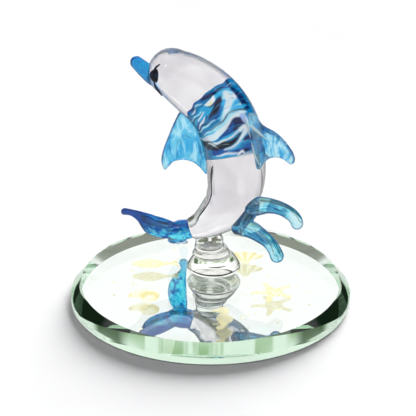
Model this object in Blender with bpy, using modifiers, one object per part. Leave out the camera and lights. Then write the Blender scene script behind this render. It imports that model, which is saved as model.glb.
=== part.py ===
"""A crystal glass dolphin with blue fins, leaping from a ridged stem that is glued to a round mirror.

The frame: +Z is up, +X is to the viewer's right and -Y is towards the viewer. The origin is the centre of the
mirror's underside. Lengths in the lists below are in millimetres, and MM turns them into metres.
"""

import math

import bmesh
import bpy
from mathutils import Matrix, Vector

MM = 0.001
LAYER_GAP = 0.05  # between flat layers that lie on each other
FIT_GAP = 0.3  # between a glass gather and the one it is fused to
SHARP_ANGLE = math.radians(35)  # a steeper edge is drawn as a crease

# The mirror
PLATE_RADIUS = 38.1  # a 3 inch disc
PLATE_TOP = 5.5
PLATE_BOTTOM = 0.5
BEVEL_RADIUS = 35.3  # where the flat top ends and the bevel starts
RIM_HEIGHT = 2.3  # where the bevel meets the upright rim
BACKING_THICKNESS = 0.3
SILVER_THICKNESS = 0.1
PRINT_THICKNESS = 0.06
COAT_INSET = 0.2  # how far the coats under the glass stop short of its rim
PLATE_STEPS = 72

# The stem
STEM_X, STEM_Y = 0.9, 8.0
STEM_STEPS = 32
COLLAR_LEAN = 1.1  # how far the collar sits off the foot's axis
GLUE_RADIUS = 6.4
GLUE_THICKNESS = 0.2

# The dolphin's body: a bent round gather, from its forehead to its tail
BODY_Y = 7.5
BODY_ROUNDNESS = 6  # the curve's bevel resolution: a rod has 4 + 2 * 6 sides
ROD_ROUNDNESS = 4
SPINE = [  # x, z, radius, from the centre of the round forehead
    (-10.3, 64.2, 6.5),
    (-8.3, 63.0, 7.1),
    (-5.8, 61.3, 7.6),
    (-2.8, 58.9, 8.0),
    (0.2, 56.1, 8.2),
    (3.2, 51.9, 8.3),
    (5.2, 47.1, 8.4),
    (6.5, 41.2, 8.3),
    (6.9, 36.4, 8.1),
    (6.9, 32.0, 7.8),
    (6.1, 28.1, 7.3),
    (4.2, 24.3, 6.6),
    (0.9, 21.1, 5.3),
    (-2.4, 18.8, 3.9),
    (-5.4, 17.7, 2.9),
]
# The planes that part the body's gathers: a point on the axis (x, z), the axis's lean from upright in degrees,
# and how far the plane tips towards the viewer
NECK_PLANE = ((-0.2, 56.8), -46.0, 28.0)
UPPER_BAND_PLANE = ((2.8, 52.6), -36.0, 26.0)
LOWER_BAND_PLANE = ((5.1, 47.2), -22.0, 24.0)
WAIST_PLANE = ((6.6, 40.6), -9.0, 18.0)

# The pieces drawn from rods: x, y, z, radius
SNOUT = [
    (-13.6, BODY_Y, 62.3, 2.7),
    (-15.4, BODY_Y, 63.2, 2.55),
    (-17.1, BODY_Y, 64.5, 2.2),
    (-18.7, BODY_Y, 66.0, 1.95),
    (-19.7, BODY_Y, 67.0, 1.75),
]
TAIL_KNOT = [
    (-5.0, BODY_Y, 17.6, 2.3),
    (-6.6, BODY_Y, 17.4, 2.75),
    (-8.4, BODY_Y, 17.1, 2.85),
    (-9.8, BODY_Y - 0.1, 17.0, 2.55),
]
SPLASH_ROOT = [
    (12.0, 3.4, 27.9, 1.7),
    (10.9, 2.9, 25.6, 2.1),
    (9.3, 2.5, 22.8, 2.15),
    (7.4, 2.1, 20.4, 1.8),
]
SPLASH_UPPER = [
    (11.6, 2.6, 26.6, 2.6),
    (13.6, 2.1, 27.2, 2.5),
    (16.2, 1.6, 27.4, 2.1),
    (19.2, 1.0, 26.8, 1.85),
    (21.6, 0.5, 25.5, 1.8),
    (23.0, 0.2, 24.0, 1.75),
    (23.4, 0.0, 22.9, 1.7),
]
SPLASH_LOWER = [
    (8.0, 1.9, 20.6, 2.0),
    (10.8, 0.8, 20.7, 2.4),
    (13.2, -1.0, 20.0, 2.15),
    (15.5, -3.0, 19.0, 1.85),
    (17.0, -4.5, 17.6, 1.8),
    (17.9, -6.0, 16.1, 1.9),
]
# The flukes are flattened rods: along, across and radius in the plane that each is flattened to
FLUKE_LEFT = [
    (0.4, 0.0, 2.5),
    (3.2, 0.9, 2.9),
    (5.8, 2.0, 2.9),
    (7.6, 3.5, 2.3),
    (9.3, 4.9, 1.5),
    (11.6, 6.2, 0.95),
    (13.6, 6.7, 1.0),
]
FLUKE_BACK = [
    (1.0, 0.0, 2.3),
    (3.6, -0.5, 2.6),
    (6.4, -0.5, 2.5),
    (9.2, 0.1, 1.9),
    (11.6, 1.0, 1.0),
    (13.0, 1.3, 0.95),
    (14.4, 1.2, 1.3),
]
FLUKE_LEFT_FLATNESS = 0.55
FLUKE_BACK_FLATNESS = 0.42
EYE_RADII = (1.3, 1.1, 1.95)
EYE_X, EYE_Z, EYE_OUT = -14.9, 65.0, 4.25

# Fin outlines: along, up. Each lies in an upright plane. Its root reaches into the body, which cuts it to fit
FIN_EXTRUDE = 0.45
FIN_BEVEL = 0.5
PECTORAL_FIN = [
    (-8.8, 51.2),
    (-10.3, 47.7),
    (-11.5, 44.5),
    (-12.9, 40.4),
    (-13.4, 37.2),
    (-12.6, 34.5),
    (-11.3, 35.6),
    (-10.0, 37.0),
    (-7.5, 37.6),
    (-5.0, 37.1),
    (-3.0, 35.6),
    (-1.0, 33.6),
    (2.0, 36.0),
    (1.0, 42.0),
    (-3.0, 50.0),
    (-7.0, 52.4),
]
DORSAL_FIN = [
    (-2.4, 54.2),
    (-0.4, 54.0),
    (1.9, 51.2),
    (5.4, 49.6),
    (8.4, 47.1),
    (10.6, 44.0),
    (10.9, 41.8),
    (9.8, 40.8),
    (7.9, 41.8),
    (6.2, 42.3),
    (3.9, 41.6),
    (2.4, 40.2),
    (0.8, 37.9),
    (-2.5, 39.5),
    (-5.5, 45.0),
    (-5.0, 52.0),
]
FAR_FIN = [
    (-2.0, 49.0),
    (0.5, 50.4),
    (2.8, 48.6),
    (5.2, 45.6),
    (7.2, 41.6),
    (6.6, 40.0),
    (4.6, 41.0),
    (2.6, 41.4),
    (0.4, 40.4),
    (-3.0, 41.5),
]

# Printed sea-life motifs: a centre on the plate, and outlines around it, seen from above
FISH_CENTRE = (-15.6, 10.0)
FISH = [
    (-6.2, 0.0),
    (-4.2, 1.9),
    (-1.4, 2.7),
    (1.6, 1.9),
    (4.2, 0.9),
    (6.8, 1.9),
    (6.3, 0.4),
    (6.9, -1.2),
    (4.2, -0.4),
    (1.6, -1.9),
    (-1.2, -3.0),
    (-4.0, -1.8),
]
NAUTILUS_CENTRE = (-17.3, -9.6)
SCALLOP_CENTRE = (9.6, 11.4)
STARFISH_CENTRE = (16.9, -7.0)
SEAHORSE_CENTRE = (3.2, -22.0)
SEAHORSE = [
    (-2.8, 4.3),
    (-1.4, 5.0),
    (-0.6, 6.2),
    (1.2, 5.8),
    (1.7, 3.6),
    (1.3, 2.0),
    (2.6, 0.6),
    (2.5, -1.6),
    (1.2, -3.2),
    (0.6, -4.8),
    (-0.4, -6.2),
    (-1.8, -5.6),
    (-1.4, -4.6),
    (-0.6, -4.2),
    (-0.9, -2.4),
    (-1.7, -0.4),
    (-1.3, 1.6),
    (-0.7, 3.0),
    (-1.4, 3.6),
]


# Materials and collections


def glass(name, colour, roughness=0.03, transmission=1.0, metallic=0.0):
    """A Principled material for one colour of glass, or for a coat where nothing shines through."""
    made = bpy.data.materials.new(name)
    made.use_nodes = True
    shader = made.node_tree.nodes["Principled BSDF"]
    shader.inputs["Base Color"].default_value = (*colour, 1.0)
    shader.inputs["Roughness"].default_value = roughness
    shader.inputs["Metallic"].default_value = metallic
    shader.inputs["Transmission Weight"].default_value = transmission
    made.diffuse_color = (*colour, 1.0)
    return made


def clear_scene():
    for old in list(bpy.data.objects):
        bpy.data.objects.remove(old)


def new_collection(name, hidden=False):
    made = bpy.data.collections.new(name)
    made.hide_render = hidden
    bpy.context.scene.collection.children.link(made)
    return made


def new_object(name, data, collection, material=None):
    made = bpy.data.objects.new(name, data)
    collection.objects.link(made)
    if material:
        data.materials.append(material)
    return made


def as_cutter(piece):
    piece.hide_render = True
    piece.display_type = "WIRE"
    return piece


def as_mesh(drawn, collection):
    """The mesh of a curve or a turned profile, with its seams welded. The object it was drawn with goes."""
    bpy.context.view_layer.update()
    graph = bpy.context.evaluated_depsgraph_get()
    mesh = bpy.data.meshes.new_from_object(drawn.evaluated_get(graph))
    name = drawn.name
    place = drawn.matrix_world.copy()
    bpy.data.objects.remove(drawn)
    work = bmesh.new()
    work.from_mesh(mesh)
    bmesh.ops.remove_doubles(work, verts=work.verts, dist=1e-6)
    bmesh.ops.recalc_face_normals(work, faces=work.faces)
    work.to_mesh(mesh)
    work.free()
    mesh.shade_smooth()
    mesh.set_sharp_from_angle(angle=SHARP_ANGLE)
    made = bpy.data.objects.new(name, mesh)
    made.matrix_world = place
    collection.objects.link(made)
    return made


def boolean(piece, cutter, operation):
    modifier = piece.modifiers.new(f"{operation.lower()}_{cutter.name}", "BOOLEAN")
    modifier.operation = operation
    modifier.object = cutter
    modifier.solver = "EXACT"


# Shapes


def through(points, steps):
    """A smooth run of points through the given ones: a Catmull-Rom spline of any number of coordinates."""
    ends = [points[0], *points, points[-1]]
    run = []
    for before, start, stop, after in zip(ends, ends[1:], ends[2:], ends[3:]):
        for step in range(steps):
            t = step / steps
            run.append(
                tuple(
                    b + 0.5 * t * (c - a + t * (2 * a - 5 * b + 4 * c - d + t * (3 * b - a - 3 * c + d)))
                    for a, b, c, d in zip(before, start, stop, after)
                )
            )
    return [*run, points[-1]]


def rounded_end(run, angles=(35, 62, 82)):
    """The run of x, y, z, radius, with a dome at its last point."""
    *end, radius = run[-1]
    onward = (Vector(end) - Vector(run[-2][:3])).normalized()
    dome = []
    for angle in angles:
        reach = radius * math.sin(math.radians(angle))
        dome.append((*(Vector(end) + onward * reach), radius * math.cos(math.radians(angle))))
    return [*run, *dome]


def rod(name, run, collection, material=None, roundness=ROD_ROUNDNESS, swell=0.0):
    """A round rod along a run of x, y, z, radius, as a mesh."""
    curve = bpy.data.curves.new(name, "CURVE")
    curve.dimensions = "3D"
    curve.bevel_depth = MM
    curve.bevel_resolution = roundness
    curve.use_fill_caps = True
    spline = curve.splines.new("POLY")
    spline.points.add(len(run) - 1)
    for point, (x, y, z, radius) in zip(spline.points, run):
        point.co = (x * MM, y * MM, z * MM, 1.0)
        point.radius = radius + swell
    return as_mesh(new_object(name, curve, collection, material), collection)


def flat_rod(name, run, flatness, place, collection, material):
    """A rod whose axis bends in one plane, flattened towards that plane, then moved by a matrix."""
    rounded = rounded_end([(x, 0.0, z, radius) for x, z, radius in run])
    piece = rod(name, rounded, collection, material)
    piece.data.transform(place @ Matrix.Scale(flatness, 4, (0, 1, 0)))
    return piece


def outline_curve(name, points, collection, material, resolution, extrude, bevel=0.0):
    """A smooth closed outline, filled and given its thickness."""
    curve = bpy.data.curves.new(name, "CURVE")
    curve.dimensions = "2D"
    curve.fill_mode = "BOTH"
    curve.resolution_u = resolution
    curve.extrude = extrude * MM
    curve.bevel_depth = bevel * MM
    curve.bevel_resolution = 1
    curve.offset = -bevel * MM
    spline = curve.splines.new("BEZIER")
    spline.use_cyclic_u = True
    spline.bezier_points.add(len(points) - 1)
    for point, (x, y) in zip(spline.bezier_points, points):
        point.co = (x * MM, y * MM, 0.0)
        point.handle_left_type = point.handle_right_type = "AUTO"
    return new_object(name, curve, collection, material)


def fin(name, outline, root, heading, collection, material, cutter):
    """A fin in an upright plane through a root point, which heads away from +X by an angle in degrees."""
    curve = outline_curve(name, outline, collection, material, 3, FIN_EXTRUDE, FIN_BEVEL)
    turn = Matrix.Rotation(math.radians(heading), 4, "Z") @ Matrix.Rotation(math.pi / 2, 4, "X")
    curve.matrix_world = Matrix.Translation((root[0] * MM, root[1] * MM, 0.0)) @ turn
    piece = as_mesh(curve, collection)
    boolean(piece, cutter, "DIFFERENCE")
    return piece


def turned(name, profile, collection, material, centre=(0.0, 0.0), steps=PLATE_STEPS):
    """A turned solid from a profile of radius, height, which runs down its outer side from axis to axis."""
    mesh = bpy.data.meshes.new(name)
    work = bmesh.new()
    verts = [work.verts.new((radius * MM, 0.0, height * MM)) for radius, height in profile]
    for start, stop in zip(verts, verts[1:]):
        work.edges.new((start, stop))
    work.to_mesh(mesh)
    work.free()
    piece = new_object(name, mesh, collection, material)
    piece.location = (centre[0] * MM, centre[1] * MM, 0.0)
    screw = piece.modifiers.new("turn", "SCREW")
    screw.axis = "Z"
    screw.steps = screw.render_steps = steps
    screw.use_merge_vertices = True
    screw.merge_threshold = 1e-6
    return as_mesh(piece, collection)


def layer(radius, top, thickness):
    return [(0.0, top), (radius, top), (radius, top - thickness), (0.0, top - thickness)]


def half_space(name, plane, towards_tail, collection):
    """A block that fills one side of a plane across the body, kept half the fit gap clear of it."""
    (x, z), lean, tip = plane
    size = 160.0
    turn = Matrix.Rotation(math.radians(lean), 4, "Y") @ Matrix.Rotation(math.radians(-tip), 4, "X")
    side = -1 if towards_tail else 1
    mesh = bpy.data.meshes.new(name)
    work = bmesh.new()
    bmesh.ops.create_cube(work, size=size * MM)
    work.to_mesh(mesh)
    work.free()
    block = new_object(name, mesh, collection)
    shift = Matrix.Translation((0.0, 0.0, side * (size / 2 - FIT_GAP / 2) * MM))
    block.matrix_world = Matrix.Translation((x * MM, BODY_Y * MM, z * MM)) @ turn @ shift
    return as_cutter(block)


# The pieces


def make_mirror(parts, looks):
    backing = layer(PLATE_RADIUS - COAT_INSET, BACKING_THICKNESS, BACKING_THICKNESS)
    turned("backing_paint", backing, parts, looks["paint"])
    silvering = layer(PLATE_RADIUS - COAT_INSET, PLATE_BOTTOM - LAYER_GAP, SILVER_THICKNESS)
    turned("mirror_silvering", silvering, parts, looks["silver"])
    plate = [
        (0.0, PLATE_TOP),
        (BEVEL_RADIUS, PLATE_TOP),
        (PLATE_RADIUS, RIM_HEIGHT),
        (PLATE_RADIUS, PLATE_BOTTOM),
        (0.0, PLATE_BOTTOM),
    ]
    turned("mirror_plate", plate, parts, looks["plate"])


def starfish_outline(reach=6.3, waist=2.3, arms=5, lean=22.0):
    """Arm tips and the dips between them, by turns."""
    points = []
    for index in range(arms * 2):
        angle = math.radians(90 + lean + index * 180 / arms)
        size = waist if index % 2 else reach
        points.append((size * math.cos(angle), size * math.sin(angle)))
    return points


def fan_outline(reach, spread, ribs, hinge):
    """A scallop: a scalloped arc over a narrow hinge, at the origin."""
    points = []
    for index in range(ribs * 2 + 1):
        angle = math.radians(90 + spread / 2 - index * spread / (ribs * 2))
        size = reach * (1.0 if index % 2 else 0.93)
        points.append((size * math.cos(angle), size * math.sin(angle)))
    return [*points, (hinge, 0.3), (hinge * 0.9, -hinge * 0.8), (-hinge * 0.9, -hinge * 0.8), (-hinge, 0.3)]


def nautilus_outline(size=4.6, turns=10):
    """A shell that widens round one turn to its mouth."""
    points = []
    for index in range(turns + 1):
        angle = math.radians(-120 + index * 300 / turns)
        reach = size * (0.55 + 0.5 * index / turns)
        points.append((reach * math.cos(angle), reach * math.sin(angle)))
    return [*points, (-1.4, -1.0)]


def make_prints(parts, looks):
    motifs = [
        ("print_fish", FISH_CENTRE, FISH),
        ("print_nautilus", NAUTILUS_CENTRE, nautilus_outline()),
        ("print_scallop", SCALLOP_CENTRE, fan_outline(6.2, 118.0, 6, 1.2)),
        ("print_starfish", STARFISH_CENTRE, starfish_outline()),
        ("print_seahorse", SEAHORSE_CENTRE, SEAHORSE),
    ]
    height = PLATE_TOP + LAYER_GAP + PRINT_THICKNESS / 2
    for name, (x, y), outline in motifs:
        curve = outline_curve(name, outline, parts, looks["print"], 3, PRINT_THICKNESS / 2)
        curve.location = (x * MM, y * MM, height * MM)
        as_mesh(curve, parts)


def make_stem(parts, looks):
    glue_top = PLATE_TOP + LAYER_GAP + GLUE_THICKNESS
    foot_bottom = glue_top + LAYER_GAP
    gathers = {
        "stem_foot": [
            (0, 9.7),
            (4.6, 9.7),
            (5.3, 9.2),
            (6.2, 8.3),
            (6.9, 7.6),
            (7.3, 6.9),
            (7.2, 6.2),
            (6.8, foot_bottom),
            (0, foot_bottom),
        ],
        "stem_ring": [(0, 11.6), (4.2, 11.6), (4.9, 11.2), (5.1, 10.7), (4.9, 10.2), (4.5, 10.0), (0, 10.0)],
    }
    for name, profile in gathers.items():
        turned(name, profile, parts, looks["clear"], (STEM_X, STEM_Y), STEM_STEPS)
    glue = layer(GLUE_RADIUS, glue_top, GLUE_THICKNESS)
    turned("stem_glue", glue, parts, looks["glue"], (STEM_X, STEM_Y), STEM_STEPS)
    collar = [(0, 15.6), (3, 15.6), (3.7, 15), (3.9, 14), (3.9, 13), (3.6, 12.2), (3.3, 11.9), (0, 11.9)]
    return turned("stem_collar", collar, parts, looks["clear"], (STEM_X - COLLAR_LEAN, STEM_Y), STEM_STEPS)


def make_body(parts, cutters, looks):
    """The clear head, the three coloured gathers of the chest, and the clear lower body.

    It returns the swollen body, which cuts whatever is fused to the body.
    """
    forehead_to_tail = through([(x, BODY_Y, z, radius) for x, z, radius in SPINE], 2)
    run = rounded_end(forehead_to_tail[::-1], (20, 40, 58, 72, 84))[::-1]
    planes = [NECK_PLANE, UPPER_BAND_PLANE, LOWER_BAND_PLANE, WAIST_PLANE]
    names = ["head", "chest_band_upper", "chest_band_middle", "chest_band_lower", "lower_body"]
    colours = ["clear", "royal", "cyan", "navy", "clear"]
    for index, (name, colour) in enumerate(zip(names, colours)):
        piece = rod(name, run, parts, looks[colour], BODY_ROUNDNESS)
        if index > 0:
            boolean(piece, half_space(f"above_{name}", planes[index - 1], False, cutters), "DIFFERENCE")
        if index < len(planes):
            boolean(piece, half_space(f"below_{name}", planes[index], True, cutters), "DIFFERENCE")
    return as_cutter(rod("swollen_body", run, cutters, roundness=BODY_ROUNDNESS, swell=FIT_GAP))


def make_face(parts, looks, swollen_body):
    snout = rod("snout", rounded_end(through(SNOUT, 2)), parts, looks["sky"])
    boolean(snout, swollen_body, "DIFFERENCE")
    for name, side in (("eye_near", -1), ("eye_far", 1)):
        mesh = bpy.data.meshes.new(name)
        work = bmesh.new()
        bmesh.ops.create_uvsphere(work, u_segments=16, v_segments=10, radius=MM)
        bmesh.ops.scale(work, vec=EYE_RADII, verts=work.verts)
        work.to_mesh(mesh)
        work.free()
        mesh.shade_smooth()
        eye = new_object(name, mesh, parts, looks["black"])
        eye.location = (EYE_X * MM, (BODY_Y + side * EYE_OUT) * MM, EYE_Z * MM)
        boolean(eye, swollen_body, "DIFFERENCE")


def make_fins(parts, looks, swollen_body):
    fin("pectoral_fin", PECTORAL_FIN, (0.0, 8.4), -6.0, parts, looks["sky"], swollen_body)
    fin("dorsal_fin", DORSAL_FIN, (12.2, 2.6), -18.0, parts, looks["sky"], swollen_body)
    fin("far_fin", FAR_FIN, (4.6, 15.2), 84.0, parts, looks["sky"], swollen_body)


def make_tail(parts, cutters, looks, swollen_body):
    """The dark knot at the end of the body, and the two flukes that grow from it."""
    run = rounded_end(through(TAIL_KNOT, 2))
    knot = rod("tail_knot", run, parts, looks["navy"])
    boolean(knot, swollen_body, "DIFFERENCE")
    swollen_knot = as_cutter(rod("swollen_knot", run, cutters, swell=FIT_GAP))
    left_turn = Matrix.Rotation(math.radians(188), 4, "Z")
    left = Matrix.Translation(Vector((-9.9, BODY_Y - 0.3, 17.2)) * MM) @ left_turn
    back_turn = Matrix(((0, 0, 1), (0.87, 0.49, 0), (-0.49, 0.87, 0))).to_4x4()
    back = Matrix.Translation(Vector((-8.7, BODY_Y + 0.7, 13.9)) * MM) @ back_turn
    pieces = [
        ("fluke_left", FLUKE_LEFT, FLUKE_LEFT_FLATNESS, left),
        ("fluke_back", FLUKE_BACK, FLUKE_BACK_FLATNESS, back),
    ]
    for name, points, flatness, place in pieces:
        fluke = flat_rod(name, through(points, 2), flatness, place, parts, looks["royal"])
        boolean(fluke, swollen_knot, "DIFFERENCE")
        boolean(fluke, swollen_body, "DIFFERENCE")


def make_splash(parts, cutters, looks, swollen_body):
    """The forked splash: a root fused along the body, and two prongs that end in drops."""
    run = rounded_end(through(SPLASH_ROOT, 2))
    root = rod("splash_root", run, parts, looks["navy"])
    boolean(root, swollen_body, "DIFFERENCE")
    swollen_root = as_cutter(rod("swollen_root", run, cutters, swell=FIT_GAP))
    for name, points in (("splash_upper", SPLASH_UPPER), ("splash_lower", SPLASH_LOWER)):
        prong = rod(name, rounded_end(through(points, 2)), parts, looks["sky"])
        boolean(prong, swollen_root, "DIFFERENCE")
        boolean(prong, swollen_body, "DIFFERENCE")


def main():
    clear_scene()
    parts = new_collection("crystal_dolphin")
    cutters = new_collection("cutters", hidden=True)
    looks = {
        "clear": glass("clear_crystal", (0.96, 0.96, 0.97)),
        "sky": glass("sky_blue_glass", (0.36, 0.76, 0.93)),
        "royal": glass("royal_blue_glass", (0.02, 0.30, 0.72)),
        "navy": glass("navy_glass", (0.02, 0.10, 0.30)),
        "cyan": glass("cyan_white_glass", (0.45, 0.80, 0.90)),
        "black": glass("black_glass", (0.01, 0.01, 0.015), 0.08, 0.0),
        "plate": glass("plate_glass", (0.86, 0.95, 0.90)),
        "glue": glass("clear_adhesive", (0.9, 0.92, 0.9), 0.1),
        "silver": glass("silvering", (0.93, 0.94, 0.95), 0.02, 0.0, 1.0),
        "paint": glass("backing_paint", (0.45, 0.47, 0.48), 0.6, 0.0),
        "print": glass("gold_print", (0.93, 0.88, 0.62), 0.4, 0.3),
    }
    make_mirror(parts, looks)
    make_prints(parts, looks)
    collar = make_stem(parts, looks)
    swollen_body = make_body(parts, cutters, looks)
    boolean(collar, swollen_body, "DIFFERENCE")
    make_face(parts, looks, swollen_body)
    make_fins(parts, looks, swollen_body)
    make_tail(parts, cutters, looks, swollen_body)
    make_splash(parts, cutters, looks, swollen_body)


main()
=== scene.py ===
import math

import bmesh
import bpy
import numpy as np
from mathutils import Matrix, Vector, geometry


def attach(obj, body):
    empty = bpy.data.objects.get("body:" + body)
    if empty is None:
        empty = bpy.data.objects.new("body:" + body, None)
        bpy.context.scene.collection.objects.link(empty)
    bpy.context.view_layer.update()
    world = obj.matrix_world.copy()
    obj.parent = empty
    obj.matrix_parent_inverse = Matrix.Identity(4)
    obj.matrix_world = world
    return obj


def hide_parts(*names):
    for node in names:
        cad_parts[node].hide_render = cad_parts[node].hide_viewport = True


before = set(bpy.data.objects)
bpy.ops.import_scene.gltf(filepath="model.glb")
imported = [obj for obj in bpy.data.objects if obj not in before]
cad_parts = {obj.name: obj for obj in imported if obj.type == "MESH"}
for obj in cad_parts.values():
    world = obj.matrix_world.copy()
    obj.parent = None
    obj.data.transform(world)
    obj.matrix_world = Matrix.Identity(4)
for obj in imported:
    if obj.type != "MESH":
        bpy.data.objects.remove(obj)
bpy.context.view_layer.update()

# Sizes and places are in millimetres, but in metres for where the camera and lights stand and for the floor
MM = 0.001
TO_MM = (1 / MM, 1 / MM, 1 / MM)

# The camera: what it aims at, from how far, how high above the horizon, its focal length and its width
AIM = Vector((-0.00069, 0.0, 0.02753))
CAMERA_DISTANCE = 0.8
CAMERA_ELEVATION = math.radians(26.0)
CAMERA_LENS = 256.6
SENSOR = 36.0

# The studio, as light seen in the glass and as light that falls on the floor
TENT_WHITE = (1.14, 1.14, 1.14)
TENT_SHADE = (0.98, 0.97, 0.98)
TENT_FILL = 0.22
KEY_ENERGY = 8.6
KEY_WIDTH = math.radians(36)
KEY_FROM = (0.27, 0.85, 0.3)
GLINT_POWER = 0.25
GLINT_SIZE = 0.14
GLINT_PLACE = (-0.3, -0.3, 0.55)

# The tent's darker zones: the limits of each and its colour. A limit is an axis of the direction, where the
# zone starts on it and where it is full
ZONES = {
    "table": ([("up", 0.0, -0.05)], (0.86, 0.88, 0.86)),
    "roof gap": (
        [("up", 0.6, 0.7), ("up", 0.92, 0.84), ("ahead", -0.15, 0.15), ("sideways", 0.04, 0.1)],
        (0.15, 0.165, 0.115),
    ),
    "speckled card": ([("up", 0.474, 0.482), ("up", 0.66, 0.6), ("ahead", 0.55, 0.65)], (0.46, 0.62, 0.38)),
    "room behind": ([("up", 0.33, 0.39), ("up", 0.8, 0.66), ("ahead", -0.56, -0.68)], (0.01, 0.02, 0.012)),
    "flags": (
        [
            ("up", 0.44, 0.48), ("up", 0.58, 0.53), ("sideways", 0.33, 0.4), ("sideways", 0.56, 0.5),
            ("ahead", 0.3, 0.5),
        ],
        (0.1, 0.16, 0.08),
    ),
    "side flags": (
        [("up", 0.5, 0.42), ("up", -0.16, -0.08), ("sideways", 0.3, 0.4), ("ahead", 0.1, 0.25)],
        (0.03, 0.04, 0.03),
    ),
}
PLAIN_AFTER = 3.0  # after so many passes through glass only the table and the roof gap are left of these
FLOOR_HALF_WIDTH = 3.0

PLATE_RADIUS = 38.1
PLATE_TOP = 5.5
PLATE_BOTTOM = 0.5
BEVEL_RADIUS = 35.3
RIM_HEIGHT = 2.3
INNER_RING = 20  # a ring of points on each flat face
DOT_HEIGHT, DOT_GAP, DOT_SIDES = 0.03, 0.01, 16

BODY_Y = 7.5  # the upright plane that the dolphin's body bends in
SPINE = [  # x, z, radius, from the centre of the round forehead to the tail
    (-10.3, 64.2, 6.5), (-8.3, 63.0, 7.1), (-5.8, 61.3, 7.6), (-2.8, 58.9, 8.0), (0.2, 56.1, 8.2),
    (3.2, 51.9, 8.3), (5.2, 47.1, 8.4), (6.5, 41.2, 8.3), (6.9, 36.4, 8.1), (6.9, 32.0, 7.8),
    (6.1, 28.1, 7.3), (4.2, 24.3, 6.6), (0.9, 21.1, 5.3), (-2.4, 18.8, 3.9), (-5.4, 17.7, 2.9),
]
# Where the coloured core of the chest ends: x and z on the body, how far the plane leans and tips in degrees,
# and how far its edge waves
NECK_PLANE, NECK_WAVE = ((-0.2, 56.8), -46.0, 28.0), 0.6
WAIST_PLANE, WAIST_WAVE = ((6.6, 40.6), -9.0, 18.0), 0.7
CORE_INSET = 0.45  # how deep the core lies under the skin
CORE_SIDES, CORE_ROWS = 192, 120
CORE_LENGTH = 20.0  # along the straightened core, which its folds are laid on
SNOUT = [  # x, z, radius
    (-12.4, 61.9, 2.6), (-13.6, 62.3, 2.7), (-15.4, 63.2, 2.55), (-17.1, 64.5, 2.2),
    (-18.7, 66.0, 1.95), (-19.7, 67.0, 1.75),
]
TAIL_KNOT = [  # x, y, z, radius
    (-4.2, BODY_Y, 17.7, 2.2), (-5.0, BODY_Y, 17.6, 2.5), (-6.6, BODY_Y, 17.4, 2.75),
    (-8.4, BODY_Y, 17.1, 2.85), (-9.8, BODY_Y - 0.1, 17.0, 2.55),
]
SPLASH_ROOT = [
    (12.0, 3.4, 27.9, 1.7), (10.9, 2.9, 25.6, 2.1), (9.3, 2.5, 22.8, 2.15), (7.4, 2.1, 20.4, 1.8),
]
SPLASH_UPPER = [
    (10.6, 3.2, 26.2, 2.3), (11.6, 2.6, 26.6, 2.6), (13.6, 2.1, 27.2, 2.5), (16.2, 1.6, 27.4, 2.1),
    (19.2, 1.0, 26.8, 1.85), (21.6, 0.5, 25.5, 1.8), (23.0, 0.2, 24.0, 1.75),
    (23.4, 0.0, 22.9, 1.7),
]
SPLASH_LOWER = [
    (8.0, 1.9, 20.6, 2.0), (10.8, 0.8, 20.7, 2.4), (13.2, -1.0, 20.0, 2.15),
    (15.5, -3.0, 19.0, 1.85), (17.0, -4.5, 17.6, 1.8), (17.9, -6.0, 16.1, 1.9),
]
FLUKE_LEFT = [  # along, up, radius, in the fluke's own plane
    (-1.4, 0.0, 2.2), (0.4, 0.0, 2.5), (3.2, 0.9, 2.9), (5.8, 2.0, 2.9), (7.6, 3.5, 2.3),
    (9.3, 4.9, 1.5), (11.6, 6.2, 0.95), (13.6, 6.7, 1.0),
]
FLUKE_BACK = [
    (-1.0, 0.4, 1.8), (1.0, 0.0, 2.3), (3.6, -0.5, 2.6), (6.4, -0.5, 2.5), (9.2, 0.1, 1.9),
    (11.6, 1.0, 1.0), (13.0, 1.3, 0.95), (14.4, 1.2, 1.3),
]
# Where each fluke starts, which way it points and how flat it is
FLUKE_LEFT_ROOT, FLUKE_LEFT_HEADING, FLUKE_LEFT_FLATNESS = (-9.9, BODY_Y - 0.3, 17.2), 188, 0.55
FLUKE_BACK_ROOT, FLUKE_BACK_FLATNESS = (-8.7, BODY_Y + 0.7, 13.9), 0.42
FLUKE_BACK_TURN = ((0, 0, 1), (0.87, 0.49, 0), (-0.49, 0.87, 0))
PECTORAL_FIN = [  # along from the root, z
    (-8.8, 51.2), (-10.3, 47.7), (-11.5, 44.5), (-12.9, 40.4), (-13.4, 37.2), (-12.6, 34.5),
    (-11.3, 35.6), (-10.0, 37.0), (-7.5, 37.6), (-5.0, 37.1), (-3.0, 35.6), (-1.0, 33.6),
    (1.0, 36.0), (0.4, 42.0), (-3.4, 49.6), (-7.0, 52.4),
]
DORSAL_FIN = [
    (-2.4, 54.2), (-0.4, 54.0), (1.9, 51.2), (5.4, 49.6), (8.4, 47.1), (10.6, 44.0), (10.9, 41.8),
    (9.8, 40.8), (7.9, 41.8), (6.2, 42.3), (3.9, 41.6), (2.4, 40.2), (0.8, 37.9), (-1.6, 40.0),
    (-3.0, 45.0), (-3.4, 51.0),
]
FAR_FIN = [
    (-2.0, 49.0), (0.5, 50.4), (2.8, 48.6), (5.2, 45.6), (7.2, 41.6), (6.6, 40.0), (4.6, 41.0),
    (2.6, 41.4), (0.4, 40.4), (-3.0, 41.5),
]
FIN_GRID = 0.34  # the pitch of the points inside a fin's outline
FIN_EDGE = 2.6  # how far in from its outline a fin reaches its full thickness
FIN_CUP, FIN_REACH = 0.02, 12.0  # a fin is bent out of its plane by FIN_CUP x**2 / FIN_REACH
EYE_RADII = (1.3, 1.1, 1.95)
EYE_CURVE = 0.18  # how strongly the eye bends round the head, as one over a radius
EYE_X, EYE_Z, EYE_OUT = -14.9, 65.0, 4.25

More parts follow.
